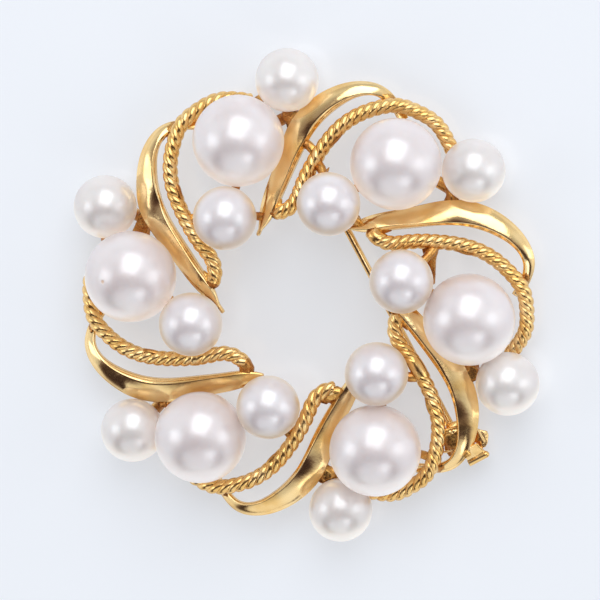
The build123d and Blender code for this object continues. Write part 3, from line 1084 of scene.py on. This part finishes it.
give(lever_part(), polished, "lever", "gold", "catch_lever")
for name in ("pin_stem", "hinge_rivet"):
    node_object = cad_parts[name]
    node_object.data.materials.clear()
    node_object.data.materials.append(polished)


# Stage: floor, lights and camera. The room is the colour of the tent's darkest parts.
FLOOR_HALF = 0.4
LIGHT_DISTANCE = 0.5
TENT_STRENGTH = 0.93
COOL = (0.91, 0.955, 1.0)
ROOM = (0.62, 0.36, 0.36, 1)
CAMERA_DISTANCE = 0.7
AIM_HEIGHT = 4.5 * MM
SENSOR = 36.0
PHOTO_WIDTH = 600


def seen(right, up, toward):
    """A direction given as the camera sees it."""
    return (RIGHT * right + UP * up + SIGHT * toward).normalized()


floor_material, tree = material("white board")
shader(
    tree,
    Base_Color=(0.46, 0.47, 0.50, 1),
    Roughness=0.14,
    IOR=1.5,
    Emission_Color=(0.93, 0.965, 1.0, 1),
    Emission_Strength=0.46,
)
corners = [(x * FLOOR_HALF, y * FLOOR_HALF, 0) for x, y in ((-1, -1), (1, -1), (1, 1), (-1, 1))]
floor = link("floor", plain_mesh("floor", corners, [(0, 1, 2, 3)]))
floor.data.materials.append(floor_material)


def softbox(name, direction, width, height, power):
    """A cool, soft, oblong light that faces the brooch."""
    light = bpy.data.lights.new(name, "AREA")
    light.shape = "RECTANGLE"
    light.size = width
    light.size_y = height
    light.energy = power
    light.color = COOL
    obj = link(name, light)
    obj.location = direction * LIGHT_DISTANCE
    obj.rotation_mode = "QUATERNION"
    obj.rotation_quaternion = direction.to_track_quat("Z", "Y")
    obj.visible_camera = False


softbox("main", seen(0.01, 0.54, 0.84), 0.38, 0.50, 1.35)
softbox("left", seen(-0.905, 0.03, 0.42), 0.20, 0.26, 0.25)
softbox("right", seen(0.87, 0.03, 0.49), 0.20, 0.28, 0.22)
softbox("low", seen(0.41, -0.65, 0.64), 0.19, 0.17, 0.14)

# The tent round the set: bright low down, a paler card below the camera, a dark arch round that card and
# a dim patch round the camera's hole
world = bpy.data.worlds.new("light tent")
bpy.context.scene.world = world
world.use_nodes = True
world.node_tree.nodes.clear()
tree = Tree(world.node_tree)
way = tree.node("ShaderNodeTexCoord")["Generated"]
to_card = vector(tree, "DOT_PRODUCT", way, tuple(seen(-0.05, -0.87, 0.49)))
to_camera = vector(tree, "DOT_PRODUCT", way, tuple(seen(-0.3, -0.05, 0.95)))
to_top = vector(tree, "DOT_PRODUCT", way, tuple(UP))
tent = smooth_step(tree, to_card, 0.42, 0.68, 1.0, 0.0) + smooth_step(tree, to_card, 0.77, 0.88, 0.0, 1.15)
tent = tent * smooth_step(tree, to_camera, 0.55, 0.97, 1.0, 0.4)
tent = tent * smooth_step(tree, to_top, 0.5, 0.95, 1.0, 0.7) * TENT_STRENGTH
colour = mix(tree, smooth_step(tree, tent, 0.0, 0.6), ROOM, (*COOL, 1))
back = tree.node("ShaderNodeBackground", {}, {"Color": colour, "Strength": tent + 0.06})
tree.node("ShaderNodeOutputWorld", {}, {"Surface": back["Background"]})

camera = bpy.data.cameras.new("camera")
camera.sensor_width = SENSOR
camera.lens = SENSOR * CAMERA_DISTANCE / (PHOTO_WIDTH * PHOTO_SCALE)
camera.clip_start = 0.01
camera.clip_end = 10
camera_object = link("camera", camera)
aim_right = (PHOTO_WIDTH / 2 - PHOTO_MIDDLE[0]) * PHOTO_SCALE
aim_down = (PHOTO_WIDTH / 2 - PHOTO_MIDDLE[1]) * PHOTO_SCALE
aim = RIGHT * aim_right - UP * aim_down - MIDDLE
turn = Matrix((RIGHT, UP, SIGHT)).transposed()
place = Matrix.Translation(aim + SIGHT * (AIM_HEIGHT + CAMERA_DISTANCE))
camera_object.matrix_world = place @ turn.to_4x4()
bpy.context.scene.camera = camera_object
bpy.context.scene.view_settings.view_transform = "Standard"
bpy.context.scene.view_settings.look = "None"
bpy.context.scene.cycles.use_denoising = True
bpy.context.scene.cycles.max_bounces = 10
bpy.context.scene.cycles.glossy_bounces = 8
